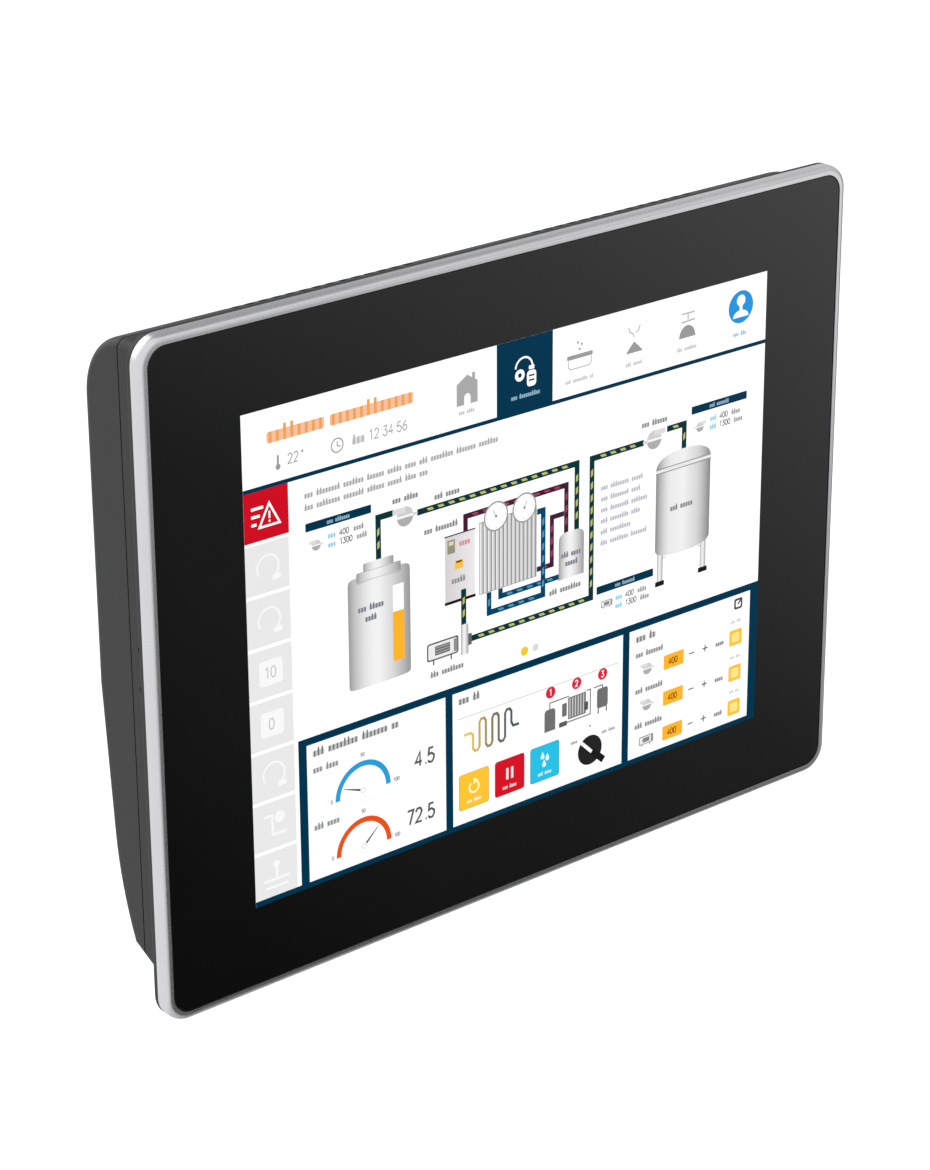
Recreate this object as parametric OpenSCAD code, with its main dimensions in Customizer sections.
// Operator touch panel for a cabinet door, with a 4:3 display.
// X runs to the right seen from the front, Y runs into the cabinet and Z runs up.
// The origin is the middle of the plane that seats against the door's front face.

/* [Bezel and glass] */
// Overall width of the bezel
bezel_w = 261.4; // [261:0.1:262]
// Overall height of the bezel
bezel_h = 202.3; // [202:0.1:203]
// How far the bezel stands in front of the door
bezel_t = 6; // [5.9:0.05:6.1]
// Outer corner radius of the bezel
bezel_r = 8.2; // [8:0.1:8.6]
// Radius of the bezel's soft front edge
bezel_edge_r = 1.9; // [1.5:0.1:1.9]
// Thickness of the dark flange behind the silver ring
flange_t = 2.1; // [2:0.05:2.2]
// Width of the silver lip at the left and right of the glass
lip_side = 2.75; // [2.6:0.05:3]
// Width of the silver lip above and below the glass
lip_end = 2.7; // [2.5:0.05:2.9]
// Corner radius of the cover glass
glass_r = 5.6; // [5:0.1:6]
// Thickness of the cover glass
glass_t = 1.75; // [1.6:0.05:1.8]

/* [Housing] */
// Width of the housing that goes through the cut-out
house_w = 249; // [248.6:0.1:249.4]
// Height of the housing's top face above the middle of the bezel
house_top = 95.8; // [95.4:0.1:95.8]
// Depth of the bottom face below the middle of the bezel, where it leaves the flange
house_bottom = 95.8; // [95.4:0.1:95.8]
// Depth of the housing behind the door's front face
house_d = 30.5; // [30.4:0.05:31]
// Wall thickness of both housing halves
wall = 2.4; // [2.2:0.1:2.6]
// Radius of the long edge between the top and the back
top_back_r = 19.7; // [19.7:0.1:21]
// Radius of the upright edges between the sides and the back
side_back_r = 3.4; // [3.2:0.1:3.6]
// Radius of the housing's corners seen from behind
house_corner_r = 3; // [2.8:0.1:3.2]
// Height at which the back starts to lean forward
lean_top = -8.5; // [-9:0.5:-8]
// Height at which the lean turns into the rounded lower back
lean_end = -53.9; // [-54.2:0.1:-53.6]
// Angle of the leaning back
lean_angle = 4.5; // [4.4:0.1:4.6]
// Radius of the rounded lower back
lower_back_r = 105; // [104:1:107]
// Slope of the bottom face
bottom_angle = 26.5; // [26.2:0.1:26.8]
// Where the two housing halves part, behind the door's front face
seam_y = 12.4; // [12.2:0.1:12.6]
// Width of the gap that shows between the halves
seam_gap = 0.4; // [0.3:0.1:0.4]

/* [Display] */
// Width of the display's picture
picture_w = 196.6; // [195:0.1:197]
// Height of the display's picture
picture_h = 147.46; // [146:0.1:148]
// How far the picture's middle lies below the bezel's middle
picture_drop = 0.4; // [0:0.1:0.8]
// Width of the display module
module_w = 210.4; // [210:0.1:211]
// Height of the display module
module_h = 161.4; // [161:0.1:162]

/* [Mounting] */
// Hole spacing of the arm mount on the back
arm_pitch = 75; // [75:75]
// Height of the arm mount's middle
arm_z = 33; // [32:0.5:34]
// Spacing of the two hooks of a mounting clip
clip_pitch = 11.9; // [11:0.1:12.4]
// Diameter of a clip hook's hole
clip_d = 2.2; // [1.8:0.1:2.6]
// Distance of the clip holes behind the door's front face
clip_y = 8; // [7.5:0.1:8.4]

/* [Connector bay] */
// Half width of the bay under the housing
bay_half_w = 104; // [103.6:0.1:104.4]
// Height of the bay's ceiling
bay_z = -58; // [-58.2:0.1:-57.9]
// Front wall of the bay
bay_y = 6.8; // [6.7:0.1:6.9]

/* [Hidden] */
$fn = 48;
e = 0.01;

// How far the housing runs forward into the flange
front_in = 1;

// Bezel and glass
ring_t = bezel_t - flange_t;
open_w = bezel_w - 2 * lip_side;
open_h = bezel_h - 2 * lip_end;
glass_gap = 0.3;
glass_w = open_w - 2 * glass_gap;
glass_h = open_h - 2 * glass_gap;
glass_sink = 0.15;
glass_front = -bezel_t + glass_sink;
glass_back = glass_front + glass_t;
land_y = glass_back + 0.3;
window_w = 218;
window_h = 167;
flange_edge_r = 0.8;
groove_out = 3.4;
groove_w = 2.6;
gasket_t = 1.2;

// Display stack, each layer from its front face
sensor_w = 214;
sensor_h = 164;
sensor_back = glass_back + 1.1;
foam_back = sensor_back + 0.4;
cell_front = foam_back + 0.3;
cell_back = cell_front + 1.2;
film_back = cell_back + 0.6;
guide_back = film_back + 2.1;
tray_back = guide_back + 0.4;
sheet_t = 0.3;
ear_x = 111.6;
ear_z = 52;

// Chassis and main board
chassis_y = 3.2;
chassis_t = 1;
chassis_half_w = 118.5;
chassis_low = -55.5;
chassis_high = 80;
chassis_pads = [[114.5, 70], [114.5, 36], [114.5, -40]];
board_y = 7.2;
board_t = 1.6;
board_back = board_y + board_t;
board_half_w = 103;
board_low = -56.2;
board_high = 40;
board_posts = [[-98, 34], [0, 34], [98, 34], [-98, -34], [-2, -34], [98, -38]];

// Cover screws, along the width and up
cover_posts = [[-112, 87], [0, 87], [112, 87], [-115, 2], [115, 2], [-114, -68], [114, -68]];
head_seat_y = 18;

// Connectors, along the bay
shield_t = 1;
shield_low = bay_z + 0.4;
shield_high = shield_low + shield_t;
shield_front = bay_y + 0.2;
shield_back = 22.6;
shield_half_w = 103.4;
mouth_z = shield_low - 0.3;
cover_lip_y = 22.9;
power_x = 88.5;
earth_x = 73.5;
serial_a_x = 53;
serial_b_x = 20.5;
usb_x = -4.5;
lan_1_x = -24;
lan_2_x = -42;
card_x = -65;
dip_x = -84.5;
reset_x = -94;
ear_screw_x = 100.7;
serial_y = 15.6;
earth_y = 15;
reset_y = 12;

lan_size = [16, 13.4, 21.3];
usb_size = [14.6, 7.2, 13.9];
serial_size = [30.8, 12.5, 11.2];
serial_pitch = 25;
dsub_w = 17.4;
dsub_h = 9;
dsub_drop = 5.8;
socket_size = [17.4, 9.4, 12.4];
pole_pitch = 5.08;
plug_w = 15.3;
plug_low = -70;
card_size = [24, 2.1, 32];
card_low = shield_low - 1.8;
dip_pitch = 2.54;
dip_size = [11.6, 6.4, 5.6];
dip_slot_y = 10;
dip_slot_l = 4.2;
lever_w = 0.9;
button_r = 1.5;

// Parts on the board
chip_at = [5, 5];
chip_w = 21;
chip_top = board_back + 1.8;
pad_top = chip_top + 0.7;
sink_w = 44;
sink_base = 2;
sink_top = 22;
sink_fins = 9;
cell_at = [-74, -8];
speaker_at = [70, 20];

// Ribbons
ribbon_t = 0.3;
ribbon_x = -50;
ribbon_w = 30;
ribbon_front = tray_back + 0.5;
ribbon_back = board_back + 0.8;
ribbon_low = 30;
ribbon_bend_z = 83;
tail_x = 106.4;
tail_y = 9.6;

// ---------- shared shapes ----------

// A box given by its lowest and highest corners.
module block(low, high) {
    translate(low) cube(high - low);
}

// Extrudes a shape drawn in X and Z from depth y0 to depth y1.
module across(y0, y1) {
    translate([0, y1, 0]) rotate([90, 0, 0]) linear_extrude(y1 - y0) children();
}

// Extrudes an outline drawn in Y and Z along X, about the middle.
module along_x(w) {
    rotate([90, 0, 90]) linear_extrude(w, center = true) children();
}

// A round rod along Y.
module rod_y(x, z, y0, y1, r) {
    translate([x, y0, z]) rotate([-90, 0, 0]) cylinder(h = y1 - y0, r = r);
}

// A rectangle with round corners, about the middle.
module rounded(w, h, r) {
    square([w - 2 * r, h], center = true);
    square([w, h - 2 * r], center = true);
    for (x = [-1, 1], z = [-1, 1])
        translate([x * (w / 2 - r), z * (h / 2 - r)]) circle(r = r);
}

// Half of a slab's cross-section, with a soft top corner.
module edge_section(half, t, r) {
    square([half, t - r]);
    square([half - r, t]);
    translate([half - r, t - r]) circle(r = r);
}

module slab_section(w, t, r) {
    edge_section(w / 2, t, r);
    mirror([1, 0]) edge_section(w / 2, t, r);
}

// A slab with round corners and a soft edge all round its top face.
module soft_slab(w, h, corner_r, t, r) {
    rotate([90, 0, 0])
        linear_extrude(h - 2 * corner_r, center = true) slab_section(w, t, r);
    rotate([90, 0, 90])
        linear_extrude(w - 2 * corner_r, center = true) slab_section(h, t, r);
    for (x = [-1, 1], y = [-1, 1])
        translate([x * (w / 2 - corner_r), y * (h / 2 - corner_r), 0])
            rotate_extrude() edge_section(corner_r, t, r);
}

// A pan-head screw whose head looks back along +Y, with a cross recess.
module screw_y(x, z, seat_y, head_r, head_t, shank_r, length) {
    rod_y(x, z, seat_y - length, seat_y, shank_r);
    difference() {
        rod_y(x, z, seat_y, seat_y + head_t, head_r);
        for (a = [0, 90])
            translate([x, seat_y + head_t, z]) rotate([0, a, 0])
                cube([1.2 * head_r, head_t, 0.28 * head_r], center = true);
    }
}

// ---------- housing outline ----------

function arc(c, r, a0, a1, n) = [
    for (k = [0:n])
        let (a = a0 + (a1 - a0) * k / n) [c[0] + r * cos(a), c[1] + r * sin(a)]
];

// Centre of the rounded lower back, in Y and Z
lean_l = (lean_top - lean_end) / cos(lean_angle);
lower_c = [
    house_d - lean_l * sin(lean_angle) - lower_back_r * cos(lean_angle),
    lean_top - lean_l * cos(lean_angle) + lower_back_r * sin(lean_angle)
];

// Where the rounded lower back, taken in by i_back, meets the bottom face, taken in by i_end
function low_corner(i_back, i_end) =
    let (
        u = [cos(bottom_angle), sin(bottom_angle)],
        n = [-sin(bottom_angle), cos(bottom_angle)],
        d = lower_c - [0, -house_bottom],
        r = lower_back_r - i_back,
        away = n * d - i_end,
        along = u * d + sqrt(r * r - away * away)
    )
    [0, -house_bottom] + n * i_end + u * along;

// Side outline of the housing in Y and Z, taken in by i_back at the back and i_end at both ends
function side_outline(i_back, i_end, n = 8) =
    let (
        corner = low_corner(i_back, i_end),
        a0 = atan2(corner[1] - lower_c[1], corner[0] - lower_c[0]),
        top_c = [house_d - top_back_r, house_top - top_back_r],
        lean = arc(lower_c, lower_back_r - i_back, a0, -lean_angle, n),
        top = [
            for (k = [0:2 * n])
                let (a = 45 * k / n)
                [
                    top_c[0] + (top_back_r - i_back) * cos(a),
                    top_c[1] + (top_back_r - i_end) * sin(a)
                ]
        ]
    )
    concat(
        [[-front_in, -house_bottom + i_end / cos(bottom_angle) - front_in * tan(bottom_angle)]],
        lean,
        [[house_d - i_back, lean_top]],
        top,
        [[-front_in, house_top - i_end]]
    );

// How far a round edge of radius r draws in at distance d from the side
function draw_in(r, d) = d >= r ? 0 : r - sqrt(r * r - (r - d) * (r - d));

// The housing's outer shape, both halves together: a long middle and two rounded ends,
// which are drawn a hair smaller than the middle that they run into.
module housing_outer() {
    hair = 0.02;
    steps = [0, 0.1, 0.3, 0.65, 1.1, 1.8, 2.6, 3.4, 6];
    along_x(house_w - 2 * side_back_r) polygon(side_outline(0, 0));
    for (s = [-1, 1])
        hull()
            for (d = steps)
                translate([s * (house_w / 2 - d - e / 2), 0, 0]) along_x(e)
                    polygon(side_outline(
                        hair + draw_in(side_back_r, d),
                        hair + draw_in(house_corner_r, d)
                    ));
}

// The space inside the housing's walls, with full corners left in.
module housing_inner(inset) {
    corner = 4.1;
    difference() {
        union() {
            along_x(house_w - 2 * (inset + corner)) polygon(side_outline(inset, inset));
            along_x(house_w - 2 * inset) polygon(side_outline(inset, inset + corner));
        }
        block(
            [-bay_half_w - 2.2, bay_y - 1.6, -house_bottom - 10],
            [bay_half_w + 2.2, house_d + 10, bay_z + 2]
        );
    }
}

module depth_slice(y0, y1) {
    intersection() {
        children();
        block([-150, y0, -120], [150, y1, 120]);
    }
}

module bay_space() {
    block([-bay_half_w, bay_y, -house_bottom - 10], [bay_half_w, house_d + 10, bay_z]);
}

// ---------- front ----------

module front_bezel() {
    color([0.80, 0.80, 0.82])
        difference() {
            translate([0, -flange_t, 0]) rotate([90, 0, 0])
                soft_slab(bezel_w, bezel_h, bezel_r, ring_t, bezel_edge_r);
            across(-bezel_t - 1, 0) rounded(open_w, open_h, glass_r + glass_gap);
        }
}

module cover_glass() {
    color([0.05, 0.05, 0.05])
        across(glass_front, glass_back) rounded(glass_w, glass_h, glass_r);
}

module glass_tape() {
    color([0.1, 0.1, 0.1])
        across(glass_back, land_y)
            difference() {
                rounded(glass_w - 1.2, glass_h - 1.2, glass_r - 0.6);
                square([window_w, window_h], center = true);
            }
}

module touch_sensor() {
    color([0.55, 0.62, 0.62, 0.6])
        translate([0, 0, -picture_drop])
            across(glass_back, sensor_back) square([sensor_w, sensor_h], center = true);
}

module display_foam() {
    color([0.15, 0.15, 0.15])
        translate([0, 0, -picture_drop]) across(sensor_back, foam_back)
            difference() {
                square([module_w - 1, module_h - 1], center = true);
                square([picture_w + 4, picture_h + 4], center = true);
            }
}

module lcd_bezel() {
    color([0.7, 0.7, 0.72])
        translate([0, 0, -picture_drop])
            difference() {
                across(foam_back, guide_back) square([module_w, module_h], center = true);
                across(foam_back + sheet_t, guide_back + 1)
                    square([module_w - 2 * sheet_t, module_h - 2 * sheet_t], center = true);
                across(foam_back - 1, guide_back)
                    square([picture_w + 3, picture_h + 3], center = true);
            }
}

module display_layer(y0, y1, w, h, dz = 0) {
    translate([0, 0, dz - picture_drop]) across(y0, y1) square([w, h], center = true);
}

module lcd_panel() {
    color([0.1, 0.12, 0.16]) display_layer(cell_front, cell_back, module_w - 4, module_h - 4);
}

module diffuser_sheet() {
    color([0.94, 0.94, 0.92]) display_layer(cell_back, film_back, module_w - 2, module_h - 2);
}

module light_guide() {
    color([0.85, 0.93, 0.95]) display_layer(film_back, guide_back, module_w - 2, module_h - 6, 1.6);
}

module led_strip() {
    color([0.9, 0.85, 0.5])
        display_layer(film_back, guide_back, module_w - 12, 1.6, 1.3 - module_h / 2);
}

module lcd_tray() {
    color([0.72, 0.73, 0.74])
        difference() {
            union() {
                display_layer(guide_back, tray_back, module_w - 0.8, module_h - 0.8);
                for (x = [-1, 1], z = [-1, 1])
                    translate([x * (ear_x - 4), 0, z * ear_z]) across(guide_back, tray_back)
                        square([12, 8], center = true);
            }
            for (x = [-1, 1], z = [-1, 1])
                rod_y(x * ear_x, z * ear_z, guide_back - 1, tray_back + 1, 1.4);
        }
}

module lcd_screws() {
    color([0.75, 0.75, 0.72])
        for (x = [-1, 1], z = [-1, 1])
            screw_y(x * ear_x, z * ear_z, tray_back, 2.1, 0.9, 1.2, 3.4);
}

// ---------- front half of the housing ----------

module frame_posts() {
    for (p = cover_posts) rod_y(p[0], p[1], 0, seam_y, 4);
    for (s = [-1, 1], p = chassis_pads) rod_y(s * p[0], p[1], -1, chassis_y, 3.5);
    for (x = [-1, 1], z = [-1, 1])
        rod_y(x * (ear_x + 0.4), z * ear_z, -1, guide_back, 3);
}

module frame_holes() {
    for (p = cover_posts) rod_y(p[0], p[1], 4, seam_y + 1, 1.25);
    for (s = [-1, 1], p = chassis_pads) rod_y(s * p[0], p[1], -2.5, chassis_y + 1, 1.45);
    for (x = [-1, 1], z = [-1, 1])
        rod_y(x * ear_x, z * ear_z, -2.5, guide_back + 1, 1.25);
}

// Two hook holes of one clip: through a side wall, or through the top or bottom.
module clip_holes() {
    for (s = [-1, 1], k = [-1, 1]) {
        translate([s * house_w / 2, clip_y, 2 + k * clip_pitch / 2]) rotate([0, 90, 0])
            cylinder(h = 4 * wall, d = clip_d, center = true);
        translate([s * 80 + k * clip_pitch / 2, clip_y, house_top])
            cylinder(h = 4 * wall, d = clip_d, center = true);
        translate([s * 80 + k * clip_pitch / 2, bay_y / 2, -house_bottom + 1.4])
            cylinder(h = 4 * wall, d = clip_d, center = true);
    }
}

module gasket_ring(out, w) {
    difference() {
        rounded(bezel_w - 2 * out + w, bezel_h - 2 * out + w, bezel_r - out + w / 2);
        rounded(bezel_w - 2 * out - w, bezel_h - 2 * out - w, bezel_r - out - w / 2);
    }
}

module mid_frame() {
    color([0.27, 0.27, 0.28])
        difference() {
            union() {
                translate([0, -flange_t, 0]) rotate([-90, 0, 0])
                    soft_slab(bezel_w, bezel_h, bezel_r, flange_t, flange_edge_r);
                across(land_y, -flange_t) rounded(glass_w - 0.6, glass_h - 0.6, glass_r - 0.3);
                depth_slice(-front_in, seam_y) housing_outer();
            }
            difference() {
                union() {
                    depth_slice(0, seam_y - 2) housing_inner(wall);
                    depth_slice(seam_y - 2, seam_y + 1) housing_inner(wall / 2);
                }
                frame_posts();
            }
            translate([0, 0, -picture_drop])
                across(land_y - 1, 1) rounded(window_w, window_h, 2);
            bay_space();
            block([-bay_half_w, bay_y, bay_z - 1], [bay_half_w, seam_y + 1, bay_z + 3]);
            across(-gasket_t - 0.1, 1) gasket_ring(groove_out, groove_w + 0.2);
            frame_holes();
            clip_holes();
        }
}

module panel_gasket() {
    color([0.08, 0.08, 0.08]) across(-gasket_t, 0) gasket_ring(groove_out, groove_w);
}

// ---------- chassis and board ----------

module chassis_plate() {
    color([0.78, 0.79, 0.8])
        difference() {
            across(chassis_y, chassis_y + chassis_t)
                translate([0, (chassis_low + chassis_high) / 2])
                    rounded(2 * chassis_half_w, chassis_high - chassis_low, 3);
            for (s = [-1, 1], p = chassis_pads) rod_y(s * p[0], p[1], 0, 9, 1.6);
            for (p = cover_posts) rod_y(p[0], p[1], 0, 9, 4.8);
            for (p = board_posts) rod_y(p[0], p[1], 0, 9, 1.6);
            for (x = [-1, 1], z = [-1, 1]) rod_y(x * ear_x, z * ear_z, 0, 9, 3);
            block([tail_x - 2, 0, -6], [tail_x + 3.4, 9, 14]);
            for (x = [-72, 0, 72])
                across(0, 9) translate([x, 62]) rounded(46, 14, 4);
        }
}

module chassis_screws() {
    color([0.75, 0.75, 0.72])
        for (s = [-1, 1], p = chassis_pads)
            screw_y(s * p[0], p[1], chassis_y + chassis_t, 2.8, 2, 1.4, 5);
}

module board_standoffs() {
    color([0.80, 0.68, 0.35])
        for (p = board_posts)
            difference() {
                rod_y(p[0], p[1], chassis_y + chassis_t, board_y, 2.6);
                rod_y(p[0], p[1], chassis_y, board_y + 1, 1.35);
            }
}

module main_board() {
    color([0.10, 0.35, 0.20])
        difference() {
            across(board_y, board_back)
                translate([0, (board_low + board_high) / 2])
                    rounded(2 * board_half_w, board_high - board_low, 2);
            for (p = board_posts) rod_y(p[0], p[1], 0, 12, 1.6);
            for (s = [-1, 1]) rod_y(s * ear_screw_x, shield_high + 5, 0, 12, 1.35);
        }
}

module board_screws() {
    color([0.75, 0.75, 0.72])
        for (p = board_posts) screw_y(p[0], p[1], board_back, 2.8, 2, 1.3, 4);
}

// A chip on the board, from its middle and size along X and Z.
module chip(at, w, h, t) {
    block([at[0] - w / 2, board_back, at[1] - h / 2], [at[0] + w / 2, board_back + t, at[1] + h / 2]);
}

module processor() {
    color([0.3, 0.32, 0.33]) chip(chip_at, chip_w, chip_w, chip_top - board_back);
}

module thermal_pad() {
    color([0.6, 0.65, 0.75])
        across(chip_top, pad_top) translate(chip_at) square(chip_w - 2, center = true);
}

module heatsink() {
    pitch = (sink_w - 2) / (sink_fins - 1);
    color([0.62, 0.63, 0.65]) {
        across(pad_top, pad_top + sink_base) translate(chip_at) square(sink_w, center = true);
        for (k = [0:sink_fins - 1])
            translate([chip_at[0] - sink_w / 2 + k * pitch, 0, chip_at[1]])
                block([0, pad_top + sink_base, -sink_w / 2], [2, sink_top, sink_w / 2]);
    }
}

module memory_chips() {
    color([0.14, 0.14, 0.15]) {
        for (x = [-30, 40], z = [-4, 14]) chip([x, z], 13, 10, 1.1);
        chip([60, -8], 12, 12, 1.4);
        chip([-40, -22], 14, 14, 1.4);
    }
}

module power_coils() {
    color([0.25, 0.25, 0.26])
        for (at = [[84, -32], [68, -32], [84, -14]])
            across(board_back, board_back + 6) translate(at) rounded(12, 12, 2.5);
}

module capacitors() {
    color([0.75, 0.76, 0.78])
        for (at = [[96, -14], [96, -26], [52, -28], [42, -28]])
            rod_y(at[0], at[1], board_back, board_back + 10.4, 4);
}

module cell_holder() {
    color([0.12, 0.12, 0.12])
        difference() {
            union() {
                rod_y(cell_at[0], cell_at[1], board_back, board_back + 4, 12);
                chip([cell_at[0], cell_at[1]], 28, 9, 4);
            }
            rod_y(cell_at[0], cell_at[1], board_back + 0.8, board_back + 5, 10.3);
        }
}

module coin_cell() {
    color([0.82, 0.83, 0.84])
        rod_y(cell_at[0], cell_at[1], board_back + 0.8, board_back + 4, 10);
}

module speaker() {
    color([0.10, 0.10, 0.10])
        difference() {
            rod_y(speaker_at[0], speaker_at[1], board_back, board_back + 6.5, 9);
            rod_y(speaker_at[0], speaker_at[1], board_back + 4, board_back + 7, 1.6);
        }
}

module ribbon_sockets() {
    color([0.9, 0.88, 0.8]) {
        difference() {
            chip([ribbon_x, ribbon_low - 1], ribbon_w + 5, 5, 2.2);
            block(
                [ribbon_x - ribbon_w / 2 - 0.2, ribbon_back - 0.1, ribbon_low - 1],
                [ribbon_x + ribbon_w / 2 + 0.2, ribbon_back + ribbon_t + 0.1, ribbon_low + 2]
            );
        }
        difference() {
            chip([tail_x - 12, 4], 5, 16, 2.2);
            block([tail_x - 12, tail_y - 0.1, -2.2], [tail_x - 9, tail_y + ribbon_t + 0.1, 10.2]);
        }
    }
}

// Leaves the display's back, bends over the chassis and comes down to the board.
module display_ribbon() {
    r_out = (ribbon_back + ribbon_t - ribbon_front) / 2;
    mid = ribbon_front + r_out;
    outer = arc([mid, ribbon_bend_z], r_out, 180, 0, 16);
    inner = arc([mid, ribbon_bend_z], r_out - ribbon_t, 0, 180, 16);
    color([0.85, 0.83, 0.75])
        translate([ribbon_x, 0, 0]) along_x(ribbon_w)
            polygon(concat(
                [[ribbon_front, 74]], outer,
                [[ribbon_back + ribbon_t, ribbon_low], [ribbon_back, ribbon_low]], inner,
                [[ribbon_front + ribbon_t, 74]]
            ));
}

// Leaves the sensor's edge, passes the display and bends in to the board.
module touch_ribbon() {
    color([0.75, 0.5, 0.2])
        translate([0, 0, -2]) linear_extrude(12)
            polygon([
                [tail_x, sensor_back], [tail_x + ribbon_t, sensor_back],
                [tail_x + ribbon_t, tail_y + ribbon_t], [tail_x - 11.5, tail_y + ribbon_t],
                [tail_x - 11.5, tail_y], [tail_x, tail_y]
            ]);
}

// ---------- connectors ----------

// A network jack whose mouth looks down, with its contacts.
module lan_port(x) {
    s = lan_size;
    color([0.72, 0.73, 0.74])
        translate([x, board_back, mouth_z])
            difference() {
                block([-s[0] / 2, 0, 0], [s[0] / 2, s[1], s[2]]);
                block([-5.9, 2.2, -1], [5.9, 9.2, 12]);
                block([-3.1, 9.1, -1], [3.1, 11, 10]);
                for (k = [-1, 1])
                    block([k * 6.4 - 1.3, s[1] - 2.4, -1], [k * 6.4 + 1.3, s[1] - 0.5, 2]);
            }
    color([0.85, 0.7, 0.3])
        for (k = [-3.5:1:3.5])
            translate([x + 1.02 * k, board_back + 2.1, mouth_z])
                block([-0.2, 0, 2], [0.2, 1.1, 12.1]);
}

module lan_port_1() { lan_port(lan_1_x); }

module lan_port_2() { lan_port(lan_2_x); }

module lan_lamps() {
    color([0.5, 0.85, 0.4])
        for (x = [lan_1_x, lan_2_x], k = [-1, 1])
            translate([x + k * 6.4, board_back + lan_size[1], mouth_z])
                block([-1.2, -2.3, 0.2], [1.2, -0.6, 2]);
}

module usb_port() {
    s = usb_size;
    translate([usb_x, board_back, mouth_z]) {
        color([0.75, 0.76, 0.78])
            difference() {
                block([-s[0] / 2, 0, 0], [s[0] / 2, s[1], s[2]]);
                block([-6.6, 0.6, -1], [6.6, s[1] - 0.6, 11]);
            }
        color([0.15, 0.15, 0.16]) block([-5.6, 0.9, 0.8], [5.6, 2.8, 11.1]);
    }
}

// The D-shaped outline of a nine-way serial port, in X and Y.
module dsub_outline(w, h) {
    slant = h * tan(10) / 2;
    polygon([
        [-w / 2 - slant + 1, -h / 2], [w / 2 + slant - 1, -h / 2], [w / 2 + slant, -h / 2 + 1],
        [w / 2 - slant, h / 2 - 1], [w / 2 - slant - 1, h / 2], [-w / 2 + slant + 1, h / 2],
        [-w / 2 + slant, h / 2 - 1], [-w / 2 - slant, -h / 2 + 1]
    ]);
}

module serial_port(x) {
    s = serial_size;
    translate([x, serial_y, 0]) {
        color([0.74, 0.75, 0.77])
            difference() {
                union() {
                    translate([-s[0] / 2, -s[1] / 2, shield_high]) cube([s[0], s[1], 0.8]);
                    translate([0, 0, shield_low - dsub_drop])
                        linear_extrude(dsub_drop + shield_t + e) dsub_outline(dsub_w, dsub_h);
                }
                translate([0, 0, shield_low - dsub_drop - 1])
                    linear_extrude(dsub_drop + 0.6) dsub_outline(dsub_w - 1, dsub_h - 1);
                for (k = [-1, 1])
                    translate([k * serial_pitch / 2, 0, shield_low])
                        cylinder(h = 4, r = 1.6);
            }
        color([0.12, 0.12, 0.13])
            difference() {
                translate([-s[0] / 2, -s[1] / 2 - 0.4, shield_high + 0.8])
                    cube([s[0], s[1] + 0.4, s[2]]);
                for (k = [-1, 1])
                    translate([k * serial_pitch / 2, 0, shield_high])
                        cylinder(h = 8, r = 1.6);
            }
        color([0.85, 0.7, 0.3])
            for (k = [-2:2]) {
                translate([k * 2.77, 1.42, shield_low - 4.8]) cylinder(h = 5, r = 0.5);
                if (k < 2)
                    translate([(k + 0.5) * 2.77, -1.42, shield_low - 4.8]) cylinder(h = 5, r = 0.5);
            }
    }
}

module serial_port_a() { serial_port(serial_a_x); }

module serial_port_b() { serial_port(serial_b_x); }

// Hexagonal nuts beside each serial port, tapped for the plug's screws.
module jack_nuts() {
    color([0.78, 0.78, 0.76])
        for (x = [serial_a_x, serial_b_x], k = [-1, 1])
            translate([x + k * serial_pitch / 2, serial_y, shield_low]) {
                difference() {
                    translate([0, 0, -5]) cylinder(h = 5, r = 2.75, $fn = 6);
                    translate([0, 0, -6]) cylinder(h = 5, r = 1.4);
                }
                cylinder(h = 7, r = 1.4);
            }
}

module power_socket() {
    s = socket_size;
    translate([power_x, board_back, mouth_z]) {
        color([0.12, 0.30, 0.16])
            difference() {
                block([-s[0] / 2, 0, 0], [s[0] / 2, s[1], s[2]]);
                block([-s[0] / 2 + 0.8, 0.9, -1], [s[0] / 2 - 0.8, s[1] - 0.9, 8.9]);
            }
        color([0.8, 0.8, 0.78])
            for (k = [-1:1])
                translate([k * pole_pitch, s[1] / 2, 1.5])
                    block([-0.5, -0.5, 0], [0.5, 0.5, 8]);
    }
}

module power_plug() {
    low = plug_low - mouth_z;
    translate([power_x, board_back, mouth_z])
        color([0.14, 0.36, 0.18])
            difference() {
                union() {
                    block([-plug_w / 2, 1.25, -0.3], [plug_w / 2, 8.15, 8.2]);
                    block([-plug_w / 2, 0.5, low], [plug_w / 2, 11.8, -0.3]);
                }
                for (k = [-1:1]) {
                    translate([k * pole_pitch, 0, 0]) {
                        block([-0.9, 3.8, -2], [0.9, 5.6, 9]);
                        block([-1.7, 2.3, low - 1], [1.7, 6.6, low + 6]);
                        translate([0, 8.6, low + 6]) rotate([-90, 0, 0])
                            cylinder(h = 4, r = 2);
                    }
                }
            }
}

module terminal_screws() {
    color([0.78, 0.79, 0.8])
        for (k = [-1:1])
            translate([power_x + k * pole_pitch, board_back + 8.6, plug_low + 6])
                rotate([-90, 0, 0])
                    difference() {
                        cylinder(h = 2.2, r = 1.8);
                        translate([-2, -0.3, 1.4]) cube([4, 0.6, 1]);
                    }
}

module sd_socket() {
    w = card_size[0] + 2;
    color([0.74, 0.75, 0.76])
        difference() {
            block([card_x - w / 2, board_back, shield_high], [card_x + w / 2, board_back + 3.6, -26]);
            block(
                [card_x - card_size[0] / 2 - 0.3, board_back + 0.5, shield_high - 1],
                [card_x + card_size[0] / 2 + 0.3, board_back + 3.2, -27]
            );
        }
}

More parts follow.
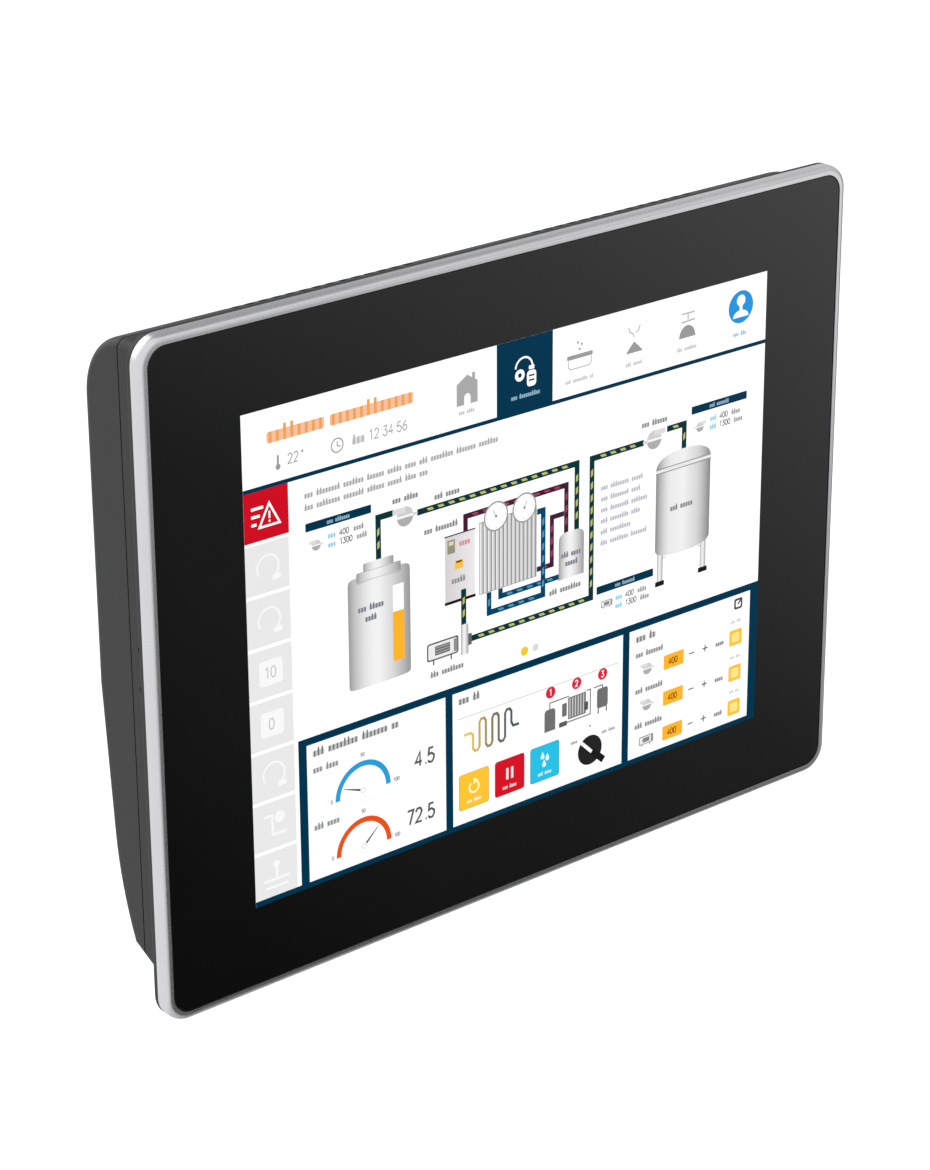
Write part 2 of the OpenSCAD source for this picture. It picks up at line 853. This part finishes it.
module sd_card() {
    w = card_size[0];
    cut = 4;
    y = board_back + 0.8;
    color([0.10, 0.10, 0.12])
        translate([card_x, y + card_size[1], card_low]) rotate([90, 0, 0])
            linear_extrude(card_size[1])
                polygon([
                    [-w / 2, 0], [w / 2, 0], [w / 2, card_size[2] - 1.2],
                    [w / 2 - 1.2, card_size[2] - 1.2], [w / 2 - 1.2, card_size[2]],
                    [-w / 2 + cut, card_size[2]], [-w / 2, card_size[2] - cut]
                ]);
}

module dip_switch() {
    s = dip_size;
    color([0.75, 0.12, 0.12])
        difference() {
            block(
                [dip_x - s[0] / 2, board_back, mouth_z],
                [dip_x + s[0] / 2, board_back + s[1], mouth_z + s[2]]
            );
            for (k = [-1.5:1:1.5])
                translate([dip_x + k * dip_pitch, dip_slot_y, mouth_z])
                    block([-0.65, 0, -1], [0.65, dip_slot_l, 1.6]);
        }
}

// One lever of the setting switch, in place k from the left seen from behind.
module dip_lever(k) {
    color([0.95, 0.95, 0.93])
        translate([dip_x + (2.5 - k) * dip_pitch, dip_slot_y + 0.4, mouth_z])
            block([-lever_w / 2, 0, -0.7], [lever_w / 2, 1.4, 1.3]);
}

module dip_lever_1() { dip_lever(1); }

module dip_lever_2() { dip_lever(2); }

module dip_lever_3() { dip_lever(3); }

module dip_lever_4() { dip_lever(4); }

module reset_switch() {
    color([0.15, 0.15, 0.15])
        difference() {
            block([reset_x - 3, board_back, shield_high + 0.1], [reset_x + 3, 15.2, -50]);
            translate([reset_x, reset_y, shield_high - 1]) cylinder(h = 3.8, r = button_r + 0.25);
        }
}

module reset_button() {
    color([0.85, 0.85, 0.83])
        translate([reset_x, reset_y, shield_low - 0.6]) cylinder(h = 3.4, r = button_r);
}

module io_shield() {
    color([0.78, 0.79, 0.8])
        difference() {
            union() {
                block([-shield_half_w, shield_front, shield_low], [shield_half_w, shield_back, shield_high]);
                for (s = [-1, 1])
                    block(
                        [s * ear_screw_x - 2.5, board_back, shield_low],
                        [s * ear_screw_x + 2.5, board_back + 1, shield_high + 9]
                    );
                translate([earth_x, earth_y, shield_high]) cylinder(h = 3, r = 4, $fn = 6);
            }
            for (x = [lan_1_x, lan_2_x])
                translate([x, 0, shield_low]) block([-8.2, 8.6, -1], [8.2, 22.4, 2]);
            translate([usb_x, 0, shield_low]) block([-7.5, 8.6, -1], [7.5, 16.2, 2]);
            for (x = [serial_a_x, serial_b_x]) {
                translate([x, serial_y, shield_low - 1]) linear_extrude(3)
                    dsub_outline(dsub_w + 0.5, dsub_h + 0.5);
                for (k = [-1, 1])
                    translate([x + k * serial_pitch / 2, serial_y, shield_low - 1])
                        cylinder(h = 3, r = 1.6);
            }
            translate([power_x, 0, shield_low]) block([-8.9, 8.6, -1], [8.9, 18.4, 2]);
            translate([card_x, 0, shield_low]) block([-12.6, 9.1, -1], [12.6, 12.3, 2]);
            translate([dip_x, 0, shield_low]) block([-6, 8.6, -1], [6, 15.4, 2]);
            translate([reset_x, reset_y, shield_low - 1]) cylinder(h = 3, r = button_r + 0.5);
            translate([earth_x, earth_y, shield_low - 1]) cylinder(h = 9, r = 1.7);
            for (s = [-1, 1]) rod_y(s * ear_screw_x, shield_high + 5, 7, 12, 1.35);
        }
}

module shield_screws() {
    color([0.75, 0.75, 0.72])
        for (s = [-1, 1])
            screw_y(s * ear_screw_x, shield_high + 5, board_back + 1, 2.2, 1.6, 1.2, 2.5);
}

// Earth screw with its captive washer, its head looking down.
module earth_screw() {
    color([0.80, 0.80, 0.78])
        translate([earth_x, earth_y, shield_low]) {
            translate([0, 0, -1]) cylinder(h = 1, r = 4.2);
            difference() {
                translate([0, 0, -3.6]) cylinder(h = 2.6, r = 3.5);
                for (a = [0, 90])
                    rotate([0, 0, a]) translate([0, 0, -3.6]) cube([4.6, 1, 2.4], center = true);
            }
            cylinder(h = 7, r = 1.6);
        }
}

// ---------- back ----------

// Columns that stay solid inside the rear cover, for its screws and the arm mount.
module cover_columns() {
    for (p = cover_posts) rod_y(p[0], p[1], seam_y - 3, house_d, 4.7);
    for (x = [-1, 1], z = [-1, 1])
        rod_y(x * arm_pitch / 2, arm_z + z * arm_pitch / 2, 22.6, house_d + 1, 5.4);
}

// Slots over the rounded top edge and down the leaning back.
module vents() {
    pitch = 4.6;
    slot = 2.2;
    for (s = [-1, 1], k = [0:13]) {
        x = s * (24 + k * pitch) - slot / 2;
        block([x, 14, 74], [x + slot, house_d + 5, house_top + 5]);
    }
    for (s = [-1, 1], k = [0:8]) {
        x = s * (62 + k * pitch) - slot / 2;
        block([x, 20, -48], [x + slot, house_d + 5, -22]);
    }
}

// Shallow place for the rating plate on the leaning back.
module plate_seat(w, h, y0, y1) {
    translate([0, house_d, lean_top]) rotate([-lean_angle, 0, 0])
        translate([0, 0, -26]) across(y0, y1) rounded(w, h, 2);
}

module rear_cover() {
    seam = seam_y + seam_gap;
    color([0.27, 0.27, 0.28])
        difference() {
            union() {
                depth_slice(seam, house_d + 1) housing_outer();
                depth_slice(seam - 2, seam + 1) housing_inner(wall / 2 + 0.3);
            }
            difference() {
                depth_slice(seam - 3, house_d) housing_inner(wall);
                cover_columns();
            }
            depth_slice(seam - 3, seam) cover_columns();
            bay_space();
            block([-bay_half_w, 0, bay_z - 1], [bay_half_w, cover_lip_y, bay_z + 3]);
            for (p = cover_posts) {
                rod_y(p[0], p[1], seam - 1, house_d + 5, 1.7);
                rod_y(p[0], p[1], head_seat_y, house_d + 5, 3.3);
            }
            for (x = [-1, 1], z = [-1, 1])
                rod_y(x * arm_pitch / 2, arm_z + z * arm_pitch / 2, 23.4, house_d + 1, 3.1);
            vents();
            plate_seat(111, 35, -0.5, 5);
        }
}

module cover_screws() {
    color([0.2, 0.2, 0.2])
        for (p = cover_posts) screw_y(p[0], p[1], head_seat_y, 2.8, 2, 1.15, 11);
}

// Brass inserts with an M4 thread's core bore, open at the back.
module arm_inserts() {
    color([0.80, 0.68, 0.35])
        for (x = [-1, 1], z = [-1, 1])
            translate([x * arm_pitch / 2, 0, arm_z + z * arm_pitch / 2])
                difference() {
                    rod_y(0, 0, 23.4, house_d, 3.1);
                    rod_y(0, 0, 24.4, house_d + 1, 1.65);
                }
}

module rating_plate() {
    color([0.75, 0.76, 0.77]) plate_seat(110, 34, -0.5, -0.1);
}

front_bezel();
cover_glass();
glass_tape();
touch_sensor();
display_foam();
lcd_bezel();
lcd_panel();
diffuser_sheet();
light_guide();
led_strip();
lcd_tray();
lcd_screws();
mid_frame();
panel_gasket();
chassis_plate();
chassis_screws();
board_standoffs();
main_board();
board_screws();
processor();
thermal_pad();
heatsink();
memory_chips();
power_coils();
capacitors();
cell_holder();
coin_cell();
speaker();
ribbon_sockets();
display_ribbon();
touch_ribbon();
lan_port_1();
lan_port_2();
lan_lamps();
usb_port();
serial_port_a();
serial_port_b();
jack_nuts();
power_socket();
power_plug();
terminal_screws();
sd_socket();
sd_card();
dip_switch();
dip_lever_1();
dip_lever_2();
dip_lever_3();
dip_lever_4();
reset_switch();
reset_button();
io_shield();
shield_screws();
earth_screw();
rear_cover();
cover_screws();
arm_inserts();
rating_plate();
